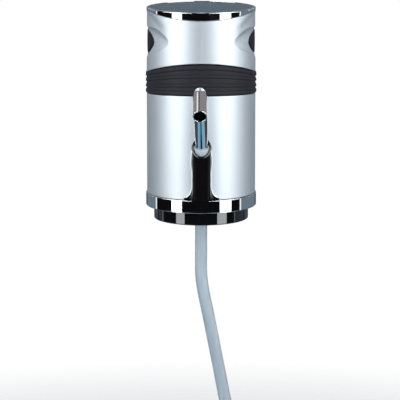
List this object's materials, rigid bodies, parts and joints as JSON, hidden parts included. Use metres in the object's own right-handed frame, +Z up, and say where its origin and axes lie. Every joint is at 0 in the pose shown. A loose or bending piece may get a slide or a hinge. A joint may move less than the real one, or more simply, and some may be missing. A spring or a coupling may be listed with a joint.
{
  "type": "bottled water pump",
  "caption": "Battery-driven water pump that stands on the neck of a large water bottle, with a press-top, a bent spout, a lift-off cover and a suction hose.",
  "frame": {"origin": "centre of the plane where the bottle's rim meets the seat gasket", "axes": "+Z up through the power button, spout towards -Y, +X to the right seen from the spout's side"},
  "size_m": [0.1054, 0.1252, 0.365],
  "materials": {
    "silver_paint": "satin silver metallic paint on moulded plastic",
    "chrome_trim": "mirror chrome plating on moulded plastic",
    "chrome_spout": "polished bright steel tube",
    "gloss_black": "piano black gloss",
    "band_rubber": "satin moulded rubber",
    "pad_black": "satin",
    "disc_blue_grey": "gloss, dark blue-grey",
    "seal_translucent": "translucent, pale blue",
    "hose_silicone": "translucent silicone",
    "soft_rubber": "matt",
    "inner_black": "moulded",
    "inner_white": "moulded",
    "gear_plastic": "moulded acetal",
    "steel": "bright",
    "nickel": "nickel plated",
    "magnet": "sintered",
    "board_green": "circuit board",
    "cell_sleeve": "plain cell sleeve",
    "wire_red": "insulation",
    "wire_black": "insulation",
    "tie": "soft strap"
  },
  "bodies": {
    "base": {"neck_skirt": "gloss_black", "neck_grip_sleeve": "soft_rubber", "seat_gasket": "soft_rubber", "chrome_base_ring": "chrome_trim", "inlet_nipple": "inner_white", "pump_cover": "inner_white", "pump_housing": "inner_white", "pump_screw_1": "steel", "pump_screw_2": "steel", "pump_screw_3": "steel", "pump_screw_4": "steel", "idler_pin": "steel", "shaft_seal": "soft_rubber", "motor_can": "nickel", "motor_end_cap": "inner_white", "motor_magnet_left": "magnet", "motor_magnet_right": "magnet", "motor_terminal_left": "nickel", "motor_terminal_right": "nickel", "wire_red": "wire_red", "wire_black": "wire_black", "mid_frame": "inner_black", "battery_box": "inner_black", "battery_cell_1": "cell_sleeve", "battery_cell_2": "cell_sleeve", "battery_cell_3": "cell_sleeve", "battery_cell_4": "cell_sleeve", "contact_spring_1": "nickel", "contact_spring_3": "nickel", "lower_housing": "silver_paint", "spout_riser": "gloss_black", "spout_seal_ring": "seal_translucent", "outlet_hose": "hose_silicone", "suction_hose": "hose_silicone", "hose_coil": "hose_silicone", "hose_tie": "tie"},
    "spout": {"spout_tube": "chrome_spout", "spout_o_ring": "soft_rubber"},
    "pump_drive": {"drive_gear": "gear_plastic", "motor_rotor": "steel"},
    "pump_idler": {"idler_gear": "gear_plastic"},
    "cover": {"upper_housing": "silver_paint", "ribbed_band": "band_rubber", "top_ring": "chrome_trim", "button_deck": "inner_black", "control_board": "board_green", "tact_switch": "inner_black", "button_spring": "steel", "contact_plate_1": "nickel", "contact_plate_2": "nickel", "contact_spring_2": "nickel", "contact_spring_4": "nickel", "pad_spring_left": "steel", "pad_spring_right": "steel"},
    "button": {"power_button": "disc_blue_grey"},
    "pad_left": {"release_pad_left": "pad_black"},
    "pad_right": {"release_pad_right": "pad_black"}
  },
  "joints": [
    {"name": "power_press", "type": "slide", "parent": "cover", "child": "button", "axis": [0, 0, -1], "range_m": [0, 0.0012], "stiffness_N_per_m": 900, "springref_m": -0.0008, "deforming": ["button_spring"]},
    {"name": "release_left_press", "type": "slide", "parent": "cover", "child": "pad_left", "axis": [1, 0, 0], "range_m": [0, 0.002], "stiffness_N_per_m": 1200, "springref_m": -0.0006, "deforming": ["pad_spring_left"]},
    {"name": "release_right_press", "type": "slide", "parent": "cover", "child": "pad_right", "axis": [-1, 0, 0], "range_m": [0, 0.002], "stiffness_N_per_m": 1200, "springref_m": -0.0006, "deforming": ["pad_spring_right"]},
    {"name": "cover_lift", "type": "slide", "parent": "base", "child": "cover", "axis": [0, 0, 1], "range_m": [0, 0.06]},
    {"name": "spout_swivel", "type": "hinge", "parent": "base", "child": "spout", "pos_m": [0, -0.0378, 0.0373], "axis": [0, -0.4067, 0.9135], "range_deg": [-45, 45]},
    {"name": "pump_drive_spin", "type": "hinge", "parent": "base", "child": "pump_drive", "pos_m": [-0.005, -0.006, 0.03], "axis": [0, 0, 1], "continuous": true},
    {"name": "pump_idler_spin", "type": "hinge", "parent": "base", "child": "pump_idler", "pos_m": [0.005, -0.006, 0.0126], "axis": [0, 0, 1], "continuous": true}
  ],
  "couplings": [
    {"joint": "pump_idler_spin", "follows": "pump_drive_spin", "ratio": -1}
  ]
}
